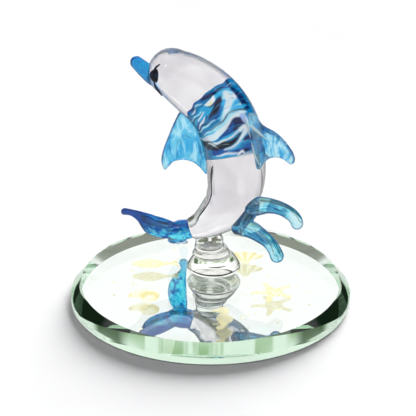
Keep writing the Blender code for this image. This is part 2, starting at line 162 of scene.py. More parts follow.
PRINTS = {  # the motif's middle on the plate and the pattern inside it
    "fish": ((-15.6, 10.0), "scales"),
    "nautilus": ((-17.3, -9.6), "spiral"),
    "scallop": ((9.6, 9.6), "ribs"),
    "starfish": ((16.9, -7.0), "dots"),
    "seahorse": ((3.2, -22.0), "rings"),
}
CELL_SCALES = {"scales": 1.15, "dots": 0.95}
DOTS = [  # x, y, radius
    (-26.3, -1.2, 0.45), (-21.5, 6.0, 0.4), (-21.0, -2.0, 0.4), (-18.5, -27.7, 0.55),
    (-10.0, 18.8, 0.4), (8.5, -21.5, 0.5), (9.6, -1.6, 0.4), (10.0, -20.0, 0.35),
    (12.0, -12.0, 0.45), (15.8, 2.3, 0.45), (18.1, -17.0, 0.5), (23.7, 4.2, 0.45),
    (26.8, -6.8, 0.5),
]

STEM_X, STEM_Y = 0.9, 8.0
RING_LEAN, COLLAR_LEAN = 0.7, 1.2  # how far these two stand towards the tail from the foot
FOOT_PROFILE = [  # radius, height, down the outside from axis to axis
    (0, 9.8), (4.4, 9.8), (5.2, 9.65), (5.7, 9.1), (6.25, 8.3), (6.8, 7.4), (7.2, 6.6), (7.25, 6.1),
    (6.9, 5.8), (3, 5.8), (0, 5.8),
]
RING_PROFILE = [
    (0, 11.9), (3.9, 11.85), (4.4, 11.5), (4.75, 10.9), (5.1, 10.2), (5.15, 9.95), (4.8, 9.8),
    (3, 9.75), (0, 9.75),
]
COLLAR_PROFILE = [
    (0, 16.2), (2.6, 16.0), (3.5, 15.1), (3.8, 14.2), (3.85, 13.2), (4.0, 12.4), (3.9, 12.0),
    (2, 11.85), (0, 11.85),
]


# Shapes


def through(points, steps):
    """A Catmull-Rom run of points through the given ones, of any number of coordinates."""
    ends = [points[0], *points, points[-1]]
    run = []
    for before, start, stop, after in zip(ends, ends[1:], ends[2:], ends[3:]):
        for step in range(steps):
            t = step / steps
            run.append(
                tuple(
                    b + 0.5 * t * (c - a + t * (2 * a - 5 * b + 4 * c - d + t * (3 * b - a - 3 * c + d)))
                    for a, b, c, d in zip(before, start, stop, after)
                )
            )
    return [*run, points[-1]]


def domed(run, steps=9):
    """The run with a half-round dome at its last point, down to a tip of 0.06 of the radius."""
    *end, radius = run[-1]
    onward = (Vector(end) - Vector(run[-2][:3])).normalized()
    dome = []
    for step in range(1, steps):
        angle = math.pi / 2 * step / steps
        dome.append((*(Vector(end) + onward * radius * math.sin(angle)), radius * math.cos(angle)))
    tip = (*(Vector(end) + onward * radius * 0.998), radius * 0.06)
    return [*run, *dome, tip]


def round_angles(sides):
    return np.linspace(0, 2 * math.pi, sides, endpoint=False)


def rings_of(run, sides):
    """Rings of points round a run, and the place of each point on a straightened copy of the rod."""
    centres = np.array([p[:3] for p in run])
    ahead = np.gradient(centres, axis=0)
    ahead /= np.linalg.norm(ahead, axis=1)[:, None]
    steps = np.linalg.norm(np.diff(centres, axis=0), axis=1)
    along = np.concatenate([[0.0], np.cumsum(steps)])
    angles = round_angles(sides)
    side = np.array((0.0, 1.0, 0.0))
    rings, straight = [], []
    for centre, (*_, radius), way, length in zip(centres, run, ahead, along):
        side = side - way * np.dot(side, way)
        side /= np.linalg.norm(side)
        up = np.cross(way, side)
        out = np.cos(angles)[:, None] * side + np.sin(angles)[:, None] * up
        rings.append(centre + radius * out)
        flat_out = (radius * np.cos(angles), radius * np.sin(angles), np.full(sides, length))
        straight.append(np.stack(flat_out, axis=1))
    return np.array(rings), np.array(straight)


def closed_tube(name, rings, straight, material):
    """A closed mesh over rings of points, with a fan at each end, and its straightened places."""
    count, sides = rings.shape[:2]

    def with_ends(grid):
        return np.concatenate([grid.reshape(-1, 3), [grid[0].mean(0)], [grid[-1].mean(0)]])

    faces = []
    for here in range(0, (count - 1) * sides, sides):
        for side in range(sides):
            after = (side + 1) % sides
            faces.append((here + side, here + after, here + sides + after, here + sides + side))
    first, last = count * sides, count * sides + 1
    for side in range(sides):
        after = (side + 1) % sides
        faces.append((first, after, side))
        faces.append((last, first - sides + side, first - sides + after))
    return solid(name, with_ends(rings), faces, material, with_ends(straight))


def linked(name, data):
    """An object in the scene, for a mesh, a light or a camera."""
    made = bpy.data.objects.new(name, data)
    bpy.context.scene.collection.objects.link(made)
    return made


def surfaced(name, work, mesh, material):
    """The worked mesh as a smooth object in the scene, of one material."""
    work.to_mesh(mesh)
    work.free()
    mesh.shade_smooth()
    mesh.materials.append(material)
    return linked(name, mesh)


def solid(name, points, faces, material, places=None, rim=None):
    """A smooth object from points and faces, turned face out, with its pattern attributes."""
    mesh = bpy.data.meshes.new(name)
    mesh.from_pydata((np.asarray(points) * MM).tolist(), [], [list(map(int, f)) for f in faces])
    if places is not None:
        layer = mesh.attributes.new("straight", "FLOAT_VECTOR", "POINT")
        layer.data.foreach_set("vector", np.asarray(places, np.float32).ravel())
    if rim is not None:
        layer = mesh.attributes.new("rim", "FLOAT", "POINT")
        layer.data.foreach_set("value", np.asarray(rim, np.float32))
    work = bmesh.new()
    work.from_mesh(mesh)
    bmesh.ops.recalc_face_normals(work, faces=work.faces)
    if work.calc_volume(signed=True) < 0:
        bmesh.ops.reverse_faces(work, faces=work.faces)
    return surfaced(name, work, mesh, material)


def rod(name, points, material, steps=8, sides=40):
    """A round rod through points, each a place and a radius, with a dome at its last one."""
    return closed_tube(name, *rings_of(domed(through(points, steps)), sides), material)


def flat_rod(name, points, flatness, place, material):
    """A rod drawn in its own upright plane, flattened across it and then put in place."""
    piece = rod(name, [(x, 0.0, z, radius) for x, z, radius in points], material)
    piece.data.transform(place @ Matrix.Scale(flatness, 4, (0, 1, 0)))
    return piece


def is_inside(point, rim):
    """Whether a point of the plane lies inside a closed outline."""
    x, y = point
    x0, y0 = rim[:, 0], rim[:, 1]
    x1, y1 = np.roll(x0, -1), np.roll(y0, -1)
    crosses = (y0 > y) != (y1 > y)
    rise = np.where(y1 == y0, 1e-9, y1 - y0)
    at = x0 + (y - y0) * (x1 - x0) / rise
    return bool((crosses & (x < at)).sum() % 2)


def from_rim(points, rim):
    """How far each point of the plane is from the nearest point of the outline."""
    return np.sqrt(((points[:, None, :] - rim[None, :, :]) ** 2).sum(2)).min(1)


def fin(name, outline, root, heading, thickness, material):
    """A lens-edged fin in an upright plane, bent out of that plane by the square of its reach."""
    rim = np.array(through([*outline, outline[0]], 14)[:-1])
    low, high = rim.min(0), rim.max(0)
    xs = np.arange(low[0], high[0], FIN_GRID)
    ys = np.arange(low[1], high[1], FIN_GRID * 0.9)
    grid = np.array([(x + (row % 2) * FIN_GRID / 2, y) for row, y in enumerate(ys) for x in xs])
    inside = np.array([is_inside(point, rim) for point in grid])
    plan = np.concatenate([rim, grid[inside & (from_rim(grid, rim) > FIN_GRID * 0.45)]])
    rim_face = list(range(len(rim)))
    found = geometry.delaunay_2d_cdt([Vector(p) for p in plan], [], [rim_face], 1, 1e-6, False)
    flat = np.array([tuple(v) for v in found[0]])
    faces = [tuple(f) for f in found[2] if is_inside(flat[list(f)].mean(0), rim)]
    depth = from_rim(flat, rim)
    on_rim = depth < 1e-4
    depth[on_rim] = 0.0
    half = thickness / 2 * np.sqrt(1 - (1 - np.clip(depth / FIN_EDGE, 0, 1)) ** 2)
    bend = FIN_CUP * (flat[:, 0] ** 2) / FIN_REACH
    front = np.stack([flat[:, 0], flat[:, 1], bend + half], axis=1)
    back = np.stack([flat[:, 0], flat[:, 1], bend - half], axis=1)
    back_index = np.where(on_rim, np.arange(len(flat)), len(flat) + np.cumsum(~on_rim) - 1)
    points = np.concatenate([front, back[~on_rim]])
    rims = np.concatenate([depth, depth[~on_rim]])
    back_faces = [tuple(int(back_index[i]) for i in reversed(f)) for f in faces]
    piece = solid(name, points, [*faces, *back_faces], material, points, rims)
    turn = Matrix.Rotation(math.radians(heading), 4, "Z") @ Matrix.Rotation(math.pi / 2, 4, "X")
    piece.data.transform(Matrix.Translation((root[0] * MM, root[1] * MM, 0.0)) @ turn)
    return piece


def turned(name, profile, centre, material, sides=96, steps=6):
    """A turned solid from a smooth profile of radius and height, which runs down from axis to axis."""
    run = through(profile, steps)
    x, y = centre
    points = [(x, y, run[0][1])]
    for radius, height in run[1:-1]:
        for angle in round_angles(sides):
            points.append((x + radius * math.cos(angle), y + radius * math.sin(angle), height))
    points.append((x, y, run[-1][1]))
    rows = len(run) - 2
    faces = []
    for side in range(sides):
        after = (side + 1) % sides
        faces.append((0, 1 + side, 1 + after))
        for row in range(rows - 1):
            here, below = 1 + row * sides, 1 + (row + 1) * sides
            faces.append((here + side, below + side, below + after, here + after))
        last = 1 + (rows - 1) * sides
        faces.append((last + side, len(points) - 1, last + after))
    return solid(name, points, faces, material)


# Materials


class Nodes:
    """A node tree and the shorthand that its nodes are wired with."""

    def __init__(self, tree):
        self.tree = tree

    def node(self, kind, **settings):
        made = self.tree.nodes.new(kind)
        for key, value in settings.items():
            setattr(made, key, value)
        return made

    def wire(self, source, target):
        self.tree.links.new(source, target)

    def fed(self, made, inputs, output):
        """The named output of a node, once each of its inputs has its value, its colour or its wire."""
        for key, value in inputs:
            socket = made.inputs[key]
            if isinstance(value, (int, float)):
                socket.default_value = value
            elif isinstance(value, tuple):
                socket.default_value = (*value, 1.0)
            else:
                self.wire(value, socket)
        return made.outputs[output]

    def split(self, vector):
        made = self.node("ShaderNodeSeparateXYZ")
        self.wire(vector, made.inputs["Vector"])
        return made.outputs

    def noise(self, vector, scale, detail=2.0, distortion=0.0, roughness=0.5):
        values = {"Scale": scale, "Detail": detail, "Distortion": distortion, "Roughness": roughness}
        return self.fed(self.node("ShaderNodeTexNoise"), [("Vector", vector), *values.items()], "Fac")

    def grey(self, source, low, high, to_low=0.0, to_high=1.0, **settings):
        """A value moved from one range to another and held inside it."""
        values = {"From Min": low, "From Max": high, "To Min": to_low, "To Max": to_high}
        made = self.node("ShaderNodeMapRange", **settings)
        return self.fed(made, [("Value", source), *values.items()], "Result")

    def math(self, operation, a, b=0.0):
        made = self.node("ShaderNodeMath", operation=operation)
        return self.fed(made, [(0, a), (1, b)], "Value")

    def mix(self, factor, a, b, blend="MIX"):
        made = self.node("ShaderNodeMix", data_type="RGBA", blend_type=blend)
        return self.fed(made, [("Factor", factor), (6, a), (7, b)], 2)


class Look(Nodes):
    """A material, its shader and the places that its patterns are laid on."""

    def __init__(self, name, **values):
        self.material = bpy.data.materials.new(name)
        self.material.use_nodes = True
        super().__init__(self.material.node_tree)
        self.shader = self.tree.nodes["Principled BSDF"]
        self.output = self.tree.nodes["Material Output"]
        self.set(**values)

    def set(self, **values):
        for key, value in values.items():
            self.shader.inputs[key.replace("_", " ")].default_value = value

    def attribute(self, name, output):
        return self.node("ShaderNodeAttribute", attribute_name=name).outputs[output]

    def straight(self):
        """The place on the straightened copy of a rod, or on a fin's own plane, in millimetres."""
        return self.attribute("straight", "Vector")

    def scaled(self, source, scale, shift=(0, 0, 0)):
        made = self.node("ShaderNodeMapping")
        made.inputs["Scale"].default_value = scale
        made.inputs["Location"].default_value = shift
        self.wire(source, made.inputs["Vector"])
        return made.outputs["Vector"]

    def place(self, shift=(0, 0, 0)):
        """The place on the object in millimetres, shifted."""
        return self.scaled(self.node("ShaderNodeTexCoord").outputs["Object"], TO_MM, shift)

    def ramp(self, source, stops):
        """A colour that runs softly through the stops, each a place and a colour, in rising order."""
        made = self.node("ShaderNodeValToRGB")
        made.color_ramp.interpolation = "EASE"
        band = made.color_ramp.elements
        while len(band) < len(stops):
            band.new(0.5)
        for element, (at, colour) in zip(band, stops):
            element.position = at
            element.color = (*colour, 1.0)
        self.wire(source, made.inputs["Fac"])
        return made.outputs["Color"]

    def facing(self):
        return self.node("ShaderNodeLayerWeight").outputs["Facing"]

    def bump(self, height, strength, distance):
        made = self.node("ShaderNodeBump")
        inputs = [("Height", height), ("Strength", strength), ("Distance", distance)]
        self.wire(self.fed(made, inputs, "Normal"), self.shader.inputs["Normal"])

    def colour(self, source):
        self.wire(source, self.shader.inputs["Base Color"])

    def glow(self, source, strength):
        """A colour and a faint painted light of its own, a glow though the part is no lamp: in the chest it
        stands for what scatters in the glass around it, and in the prints it lightens their shaded undersides
        seen in the mirror.
        """
        self.colour(source)
        self.wire(source, self.shader.inputs["Emission Color"])
        self.set(Emission_Strength=strength)

    def volume(self, colour, density):
        made = self.node("ShaderNodeVolumeAbsorption")
        inputs = [("Color", colour), ("Density", density)]
        self.wire(self.fed(made, inputs, "Volume"), self.output.inputs["Volume"])


def clear_glass(name, edge, tint, density, start, bend, wave=0.12, painted_shade=None):
    """Clear glass: faint waves on its skin, soft veils of painted shade over it, and a grey line of painted
    shade where it turns away.

    The painted shade line starts where the facing passes start and is full at EDGE_FULL; bend is the index of
    refraction.
    """
    look = Look(name, Transmission_Weight=1.0, Roughness=0.0, IOR=bend)
    look.bump(look.noise(look.place(), 0.16, detail=1.0, distortion=0.6), wave, 0.001)
    half_way = tuple(0.5 * (a + b) for a, b in zip(CLEAR_SKIN, edge))
    middle = 0.5 * (start + EDGE_FULL)
    stops = [(0.0, CLEAR_SKIN), (start, CLEAR_SKIN), (middle, half_way), (EDGE_FULL, edge), (1.0, edge)]
    # painted shade: the skin greys towards the edge colour where the glass turns away from view
    skin = look.ramp(look.facing(), stops)
    # painted shade: soft patches where the skin is multiplied down by the given shade colour
    if painted_shade:
        along = look.scaled(look.straight(), (0.16, 0.16, 0.07))
        drawn = look.grey(look.noise(along, 1.0, detail=1.0, distortion=0.4), 0.42, 0.56)
        skin = look.mix(drawn, skin, look.mix(1.0, skin, painted_shade, "MULTIPLY"))
    look.colour(skin)
    look.volume(tint, density)
    return look.material


def tinted_glass(name, colours, edge, threads, deep, dark, rim=None, fade=None, top=None):
    """Coloured glass with paler and deeper threads drawn along it, and painted shade that makes it darkest
    where it turns away from view and near a fin's outline.

    Each pair says where a change of tone starts and where it is full: edge on the facing and rim in
    millimetres from a fin's outline, both for painted shade, deep and dark on the threads, top in millimetres
    above the floor. A fade is an axis of the straightened place, two places on it and the colour that the
    glass fades to.
    """
    pale, full, night = colours
    look = Look(name, Transmission_Weight=0.85, Roughness=0.0, IOR=1.5)
    place = look.scaled(look.straight(), threads)
    drawn = look.noise(place, 1.0, detail=3.0, distortion=0.9, roughness=0.55)
    body = look.mix(look.grey(drawn, *deep), pale, full)
    body = look.mix(look.grey(drawn, *dark), body, night)
    # painted shade: a fin darkens towards its outline
    if rim:
        body = look.mix(look.grey(look.attribute("rim", "Fac"), *rim, 1.0, 0.0), body, night)
    if fade:
        axis, low, high, towards = fade
        body = look.mix(look.grey(look.split(look.straight())[axis], low, high), body, towards)
    if top:
        world = look.scaled(look.node("ShaderNodeNewGeometry").outputs["Position"], TO_MM)
        wander = look.grey(drawn, 0.3, 0.7, -TOP_WANDER, TOP_WANDER)
        raised = look.math("ADD", look.split(world)["Z"], wander)
        body = look.mix(look.grey(raised, *top, 0.0, TOP_SHARE), body, night)
    # painted shade: the glass darkens to its deepest colour where it turns away from view
    look.colour(look.mix(look.grey(look.facing(), *edge), body, night))
    look.bump(look.noise(place, 0.7, 1.0), 0.15, 0.0008)
    return look.material


def grained(name, tones, scale, detail, bump=None, **values):
    """A look whose colour runs between two tones over a grain of its own, which can also roughen it."""
    look = Look(name, **values)
    grain = look.noise(look.place(), scale, detail)
    look.colour(look.ramp(grain, tones))
    if bump:
        look.bump(grain, *bump)
    return look


CLEAR_SKIN = (0.985, 0.985, 0.99)
EDGE_FULL = 0.75
TOP_SHARE, TOP_WANDER = 0.92, 1.4
# How strongly the chest and the prints glow with painted light of their own
CHEST_GLOW, PRINT_GLOW = 0.36, 0.14
WHITE, PALE, CYAN = (1.0, 1.0, 1.0), (0.52, 0.83, 0.93), (0.05, 0.54, 0.82)
LIGHT_BLUE, ROYAL_BLUE = (0.004, 0.31, 0.57), (0.003, 0.12, 0.42)
NAVY_BLUE, BLACK = (0.006, 0.022, 0.13), (0.001, 0.003, 0.01)
# CREAM is the yellowish tone of a painted highlight in the chest
MILK, LILAC, CREAM = (0.8, 0.88, 0.9), (0.5, 0.6, 0.9), (0.92, 0.9, 0.66)
CAP_WHITE = (0.86, 0.87, 0.88)

# The strokes of colour folded into the chest, from the first to the last laid on: the colour, then the places
# it runs through, each from -1 at the throat to 1 at the back, from 0 at the neck to 1 at the waist, and its
# width there in millimetres
STROKES = [
    (CYAN, [(-0.9, 0.3, 2.0), (-0.3, 0.24, 3.0), (0.3, 0.28, 3.0), (0.7, 0.42, 2.4)]),
    (LIGHT_BLUE, [(-1.0, 0.1, 2.6), (-0.5, 0.06, 2.2), (0.1, 0.1, 2.0)]),
    (ROYAL_BLUE, [(-1.0, 0.02, 0.9), (-0.5, 0.01, 1.0), (-0.1, 0.01, 0.8)]),
    (ROYAL_BLUE, [(0.05, 0.02, 1.2), (0.4, 0.03, 2.2), (1.0, 0.04, 2.6)]),
    (NAVY_BLUE, [(0.1, 0.03, 0.7), (0.35, 0.07, 1.5), (0.75, 0.09, 0.7)]),
    (LIGHT_BLUE, [(0.3, 0.02, 0.3), (0.7, 0.03, 0.8), (0.95, 0.02, 0.5)]),
    (CYAN, [(0.2, 0.2, 0.8), (0.55, 0.15, 1.3), (0.85, 0.13, 1.0)]),
    (PALE, [(-0.05, 0.52, 0.6), (0.25, 0.46, 2.0), (0.58, 0.36, 3.4), (0.84, 0.26, 4.0), (0.93, 0.16, 1.6)]),
    (MILK, [(0.2, 0.46, 0.3), (0.48, 0.38, 1.4), (0.7, 0.26, 1.5), (0.74, 0.16, 0.5)]),
    (CYAN, [(0.62, 0.4, 0.3), (0.82, 0.34, 0.9), (0.92, 0.22, 0.6), (0.84, 0.12, 0.4)]),
    (WHITE, [(0.8, 0.3, 0.3), (0.88, 0.24, 0.8), (0.9, 0.18, 0.3)]),
    (NAVY_BLUE, [(-0.22, 0.38, 0.5), (0.1, 0.32, 1.5), (0.38, 0.26, 1.8), (0.52, 0.2, 0.5)]),
    (BLACK, [(-0.02, 0.34, 0.3), (0.25, 0.29, 0.9), (0.44, 0.24, 0.3)]),
    (CYAN, [(0.02, 0.45, 0.4), (0.32, 0.36, 0.8), (0.56, 0.27, 0.6)]),
    (ROYAL_BLUE, [(-0.3, 0.42, 0.4), (0.05, 0.4, 0.6), (0.38, 0.34, 0.3)]),
    # painted highlight: this white stroke and the cream one over it are a glint drawn into the chest's colour
    (WHITE, [(0.02, 0.15, 0.4), (0.16, 0.17, 1.3), (0.32, 0.17, 1.1), (0.42, 0.13, 0.4)]),
    (CREAM, [(0.06, 0.18, 0.3), (0.17, 0.19, 0.8), (0.28, 0.18, 0.4)]),
    (NAVY_BLUE, [(0.04, 0.215, 0.2), (0.16, 0.225, 0.35), (0.3, 0.215, 0.2)]),
    (PALE, [(-0.95, 0.2, 0.3), (-0.62, 0.17, 0.6), (-0.25, 0.2, 0.4)]),
    (NAVY_BLUE, [(-0.9, 0.25, 0.3), (-0.6, 0.22, 0.45), (-0.3, 0.24, 0.3)]),
    (WHITE, [(-0.62, 0.3, 0.2), (-0.42, 0.25, 0.5), (-0.2, 0.24, 0.2)]),
    (ROYAL_BLUE, [(-0.98, 0.36, 0.6), (-0.65, 0.34, 0.6), (-0.25, 0.33, 0.3)]),
    (WHITE, [(-0.8, 0.4, 0.2), (-0.52, 0.35, 0.5), (-0.32, 0.31, 0.3)]),
    (PALE, [(-0.95, 0.47, 0.5), (-0.55, 0.44, 0.6), (-0.1, 0.44, 0.3)]),
    (NAVY_BLUE, [(-0.86, 0.43, 0.3), (-0.56, 0.4, 0.4), (-0.3, 0.41, 0.2)]),
    (WHITE, [(-0.6, 0.1, 0.2), (-0.44, 0.08, 0.4), (-0.3, 0.05, 0.2)]),
    (PALE, [(-0.3, 0.03, 0.3), (-0.16, 0.07, 0.6), (-0.02, 0.1, 0.3)]),
    (BLACK, [(-0.5, 0.03, 0.2), (-0.36, 0.05, 0.4), (-0.26, 0.02, 0.2)]),
    (LIGHT_BLUE, [(1.0, 0.0, 1.6), (1.0, 0.25, 1.8), (1.0, 0.6, 1.2)]),
    (NAVY_BLUE, [(0.95, 0.02, 0.5), (0.92, 0.14, 0.5), (0.93, 0.28, 0.9), (0.9, 0.44, 0.8)]),
    (LIGHT_BLUE, [(-0.98, 0.55, 1.6), (-0.5, 0.51, 1.6), (0.0, 0.5, 0.8)]),
    (PALE, [(-1.0, 0.65, 2.0), (-0.6, 0.65, 2.4), (-0.1, 0.61, 2.2), (0.35, 0.54, 1.6), (0.8, 0.48, 0.8)]),
    (MILK, [(-1.0, 0.67, 1.4), (-0.6, 0.67, 1.8), (-0.1, 0.63, 1.6), (0.35, 0.56, 1.2), (0.75, 0.49, 0.6)]),
    (PALE, [(-0.75, 0.57, 0.4), (-0.3, 0.54, 0.8), (0.15, 0.5, 0.5)]),
    (BLACK, [(-0.45, 0.54, 0.12), (0.1, 0.5, 0.25), (0.45, 0.455, 0.3), (0.85, 0.455, 0.3)]),
    (CYAN, [(0.55, 0.43, 0.4), (0.75, 0.42, 0.7), (0.9, 0.4, 0.5)]),
    (CYAN, [(-0.98, 0.6, 0.5), (-0.65, 0.6, 0.5), (-0.35, 0.58, 0.3)]),
    (LIGHT_BLUE, [(-0.45, 0.76, 0.5), (0.05, 0.7, 1.8), (0.5, 0.66, 2.6), (0.66, 0.64, 1.8)]),
    (NAVY_BLUE, [(-0.1, 0.7, 0.5), (0.25, 0.64, 1.6), (0.52, 0.62, 2.7), (0.6, 0.66, 2.0)]),
    (ROYAL_BLUE, [(-0.25, 0.72, 0.4), (0.1, 0.68, 0.9), (0.35, 0.6, 0.6)]),
    (LILAC, [(0.7, 0.53, 0.8), (0.72, 0.6, 1.4), (0.78, 0.66, 1.0)]),
    (CYAN, [(-0.35, 0.78, 0.3), (0.0, 0.74, 0.7), (0.35, 0.71, 0.3)]),
    (
        MILK,
        [(-0.85, 0.74, 1.2), (-0.55, 0.78, 1.0), (-0.15, 0.785, 0.7), (0.2, 0.75, 0.7), (0.62, 0.68, 0.9)],
    ),
    (BLACK, [(-0.98, 0.7, 1.4), (-0.78, 0.77, 2.2), (-0.52, 0.86, 2.0)]),
    (MILK, [(-0.72, 0.75, 0.3), (-0.56, 0.8, 0.5), (-0.4, 0.86, 0.2)]),
    (BLACK, [(-0.46, 0.82, 0.6), (-0.26, 0.85, 1.7), (0.05, 0.82, 1.2), (0.42, 0.755, 0.5)]),
    (LIGHT_BLUE, [(-0.1, 0.8, 0.2), (0.15, 0.775, 0.4), (0.4, 0.73, 0.3)]),
    (ROYAL_BLUE, [(-0.6, 0.93, 1.4), (-0.2, 0.93, 1.6), (0.3, 0.92, 2.0), (0.95, 0.88, 3.2)]),
    (NAVY_BLUE, [(0.4, 0.86, 0.6), (0.7, 0.82, 1.0), (0.95, 0.76, 0.8)]),
    (LIGHT_BLUE, [(0.25, 0.91, 0.5), (0.55, 0.88, 0.8), (0.8, 0.9, 0.6)]),
    (MILK, [(-0.24, 0.905, 0.3), (0.15, 0.87, 0.6), (0.5, 0.78, 0.9), (0.8, 0.66, 1.5), (0.9, 0.56, 1.0)]),
    (CYAN, [(-0.14, 0.925, 0.2), (0.2, 0.895, 0.5), (0.45, 0.83, 0.3)]),
    (CYAN, [(-0.62, 0.99, 0.7), (-0.2, 0.975, 0.5), (0.15, 0.99, 0.4)]),
    (WHITE, [(-0.55, 0.965, 0.2), (-0.15, 0.955, 0.45), (0.2, 0.97, 0.2)]),
    (BLACK, [(0.3, 0.985, 0.4), (0.42, 0.965, 0.5), (0.55, 0.99, 0.3)]),
    (WHITE, [(0.16, 0.985, 0.3), (0.3, 0.96, 0.5), (0.36, 0.99, 0.3)]),
]
STROKE_SOFTNESS = 0.5
STROKE_DEPTH = 1.3  # above 1 deepens every colour but white
RIPPLE = 0.05
STREAK_PITCHES, STREAK_SHARE = (3.1, 5.3, 7.9), 0.26  # the fine streaks drawn over the strokes
CHEST_HALF_WIDTH, CHEST_LENGTH = 8.0, 16.5  # what the strokes' places are shares of, in millimetres


def stroke_colours(across, down):
    """The colour of each place on the chest, laid on stroke by stroke."""
    rng = np.random.default_rng(11)
    x, y = across * CHEST_HALF_WIDTH, down * CHEST_LENGTH
    for step in range(1, 4):
        angle, phase = rng.uniform(0, 6.3, 2)
        ripple = RIPPLE * np.sin(step * 0.55 * (x * np.cos(angle) + y * np.sin(angle)) + phase)
        x, y = x + ripple * np.sin(angle), y + ripple * np.cos(angle)
    colours = np.tile(np.array(LIGHT_BLUE), (*across.shape, 1))
    for colour, places in STROKES:
        run = through([(a * CHEST_HALF_WIDTH, d * CHEST_LENGTH, width) for a, d, width in places], 5)
        nearest = np.full(across.shape, -1e3)
        for (x0, y0, width0), (x1, y1, width1) in zip(run, run[1:]):
            length = math.hypot(x1 - x0, y1 - y0)
            share = np.clip(((x - x0) * (x1 - x0) + (y - y0) * (y1 - y0)) / length**2, 0, 1)
            away = np.hypot(x - x0 - share * (x1 - x0), y - y0 - share * (y1 - y0))
            nearest = np.maximum(nearest, (width0 + (width1 - width0) * share) / 2 - away)
        mask = np.clip(0.5 + nearest / STROKE_SOFTNESS, 0, 1)
        mask = mask * mask * (3 - 2 * mask)
        colours = colours * (1 - mask[..., None]) + np.array(colour) * mask[..., None]
    flow = y + 0.22 * x - 0.035 * (x + 1.0) ** 2
    waves = [np.sin(flow * pitch + rng.uniform(0, 6.3) + np.sin(0.4 * x + pitch)) for pitch in STREAK_PITCHES]
    for colour, side in ((NAVY_BLUE, -1), (CYAN, 1)):
        mask = STREAK_SHARE * np.clip(side * sum(waves) / 1.8 - 0.15, 0, 1)[..., None]
        mask = mask * (1 - 0.8 * colours.mean(-1, keepdims=True))
        colours = colours * (1 - mask) + np.array(colour) * mask
    return colours**STROKE_DEPTH


def chest_swirls():
    """The gathers of the chest: cyan, white, royal and navy glass folded over each other across the body,
    glowing with a faint painted light of their own.
    """
    look = Look("chest_swirls", Transmission_Weight=0.0, Roughness=0.35, IOR=1.12)
    place = look.scaled(look.straight(), (0.16, 0.16, 1.5), (0.0, 5.0, 1.0))
    folds = look.noise(place, 1.0, detail=3.0, distortion=0.9)
    streaks = look.mix(look.grey(folds, 0.6, 0.72, 0.0, 0.35), look.attribute("swirl", "Color"), PALE)
    streaks = look.mix(look.grey(folds, 0.4, 0.3, 0.0, 0.5), streaks, ROYAL_BLUE)
    # painted light: the chest's colours glow though it is no lamp
    look.glow(streaks, CHEST_GLOW)
    return look.material


# On both clear glasses the edge colour paints a line of shade where they turn away, and on the crystal body
# soft veils of painted shade darken the skin in patches
CLEAR = clear_glass(
    "clear_crystal",
    edge=(0.1, 0.11, 0.12),
    tint=(0.55, 0.51, 0.53),
    density=26.0,
    start=0.36,
    bend=1.42,
    painted_shade=(0.84, 0.82, 0.84),
)
STEM_GLASS = clear_glass(
    "stem_crystal",
    edge=(0.001, 0.004, 0.005),
    tint=(0.84, 0.84, 0.3),
    density=7.0,
    start=0.46,
    bend=1.34,
    wave=0.16,
)
# On these tinted glasses the edge pair, and on the fins the rim pair, set where painted shade darkens them
SKY = tinted_glass(
    "sky_blue_glass",
    ((0.66, 0.94, 0.99), (0.08, 0.68, 0.9), (0.0, 0.09, 0.28)),
    edge=(0.26, 0.56),
    threads=(0.85, 0.85, 0.06),
    deep=(0.53, 0.6),
    dark=(0.61, 0.64),
)
FIN = tinted_glass(
    "fin_glass",
    ((0.46, 0.86, 0.97), (0.04, 0.47, 0.82), (0.004, 0.1, 0.3)),
    edge=(0.5, 1.0),
    threads=(0.5, 0.16, 0.34),
    deep=(0.45, 0.53),
    dark=(0.6, 0.68),
    rim=(0.1, 0.55),
)
DORSAL = tinted_glass(
    "dorsal_glass",
    ((0.55, 0.88, 0.96), (0.03, 0.42, 0.78), (0.003, 0.09, 0.28)),
    edge=(0.5, 1.0),
    threads=(0.6, 0.2, 0.5),
    deep=(0.44, 0.54),
    dark=(0.58, 0.66),
    rim=(0.1, 0.55),
    fade=("X", 1.6, -0.9, (0.5, 0.88, 0.97)),
)
FLUKE = tinted_glass(
    "fluke_glass",
    ((0.14, 0.86, 1.0), (0.0, 0.48, 0.94), (0.0, 0.03, 0.3)),
    edge=(0.4, 0.85),
    threads=(0.75, 0.75, 0.45),
    deep=(0.47, 0.56),
    dark=(0.57, 0.61),
    fade=("Z", 10.0, 16.0, (0.16, 0.58, 0.88)),
    top=(16.0, 19.2),
)
SNOUT_GLASS = tinted_glass(
    "snout_glass",
    ((0.02, 0.46, 0.8), (0.0, 0.22, 0.62), (0.002, 0.07, 0.3)),
    edge=(0.55, 1.0),
    threads=(0.3, 0.3, 0.2),
    deep=(0.3, 0.6),
    dark=(0.8, 0.9),
)
NAVY = tinted_glass(
    "navy_glass",
    ((0.5, 0.88, 0.98), (0.0, 0.34, 0.66), (0.0, 0.03, 0.14)),
    edge=(0.28, 0.62),
    threads=(1.3, 1.3, 0.22),
    deep=(0.42, 0.5),
    dark=(0.53, 0.56),
)


def thread_shade_and_highlight_glass(name, low, high):
    """A fine thread of coloured glass, also used to draw lines of painted shade and a painted highlight."""
    look = Look(name, Roughness=0.2, IOR=1.2)
    place = look.scaled(look.straight(), (1.0, 1.0, 0.5))
    look.colour(look.ramp(look.noise(place, 1.0, 2.0), [(0.35, low), (0.65, high)]))
    return look.material


def eye_black():
    tones = [(0.35, (0.002, 0.002, 0.004)), (0.75, (0.01, 0.03, 0.09))]
    return grained("black_glass", tones, 0.9, 2.0, Roughness=0.06, IOR=1.3).material


EYE = eye_black()


def plate_glass():
    """Float glass: colourless to look through and green along its edge, from what a long path takes out."""
    tones = [(0.0, (0.99, 0.995, 0.992)), (1.0, (0.975, 0.983, 0.978))]
    look = grained("plate_glass", tones, 0.05, 1.0, Transmission_Weight=1.0, Roughness=0.0, IOR=1.52)
    look.volume((0.51, 0.78, 0.55), 11.0)
    return look.material


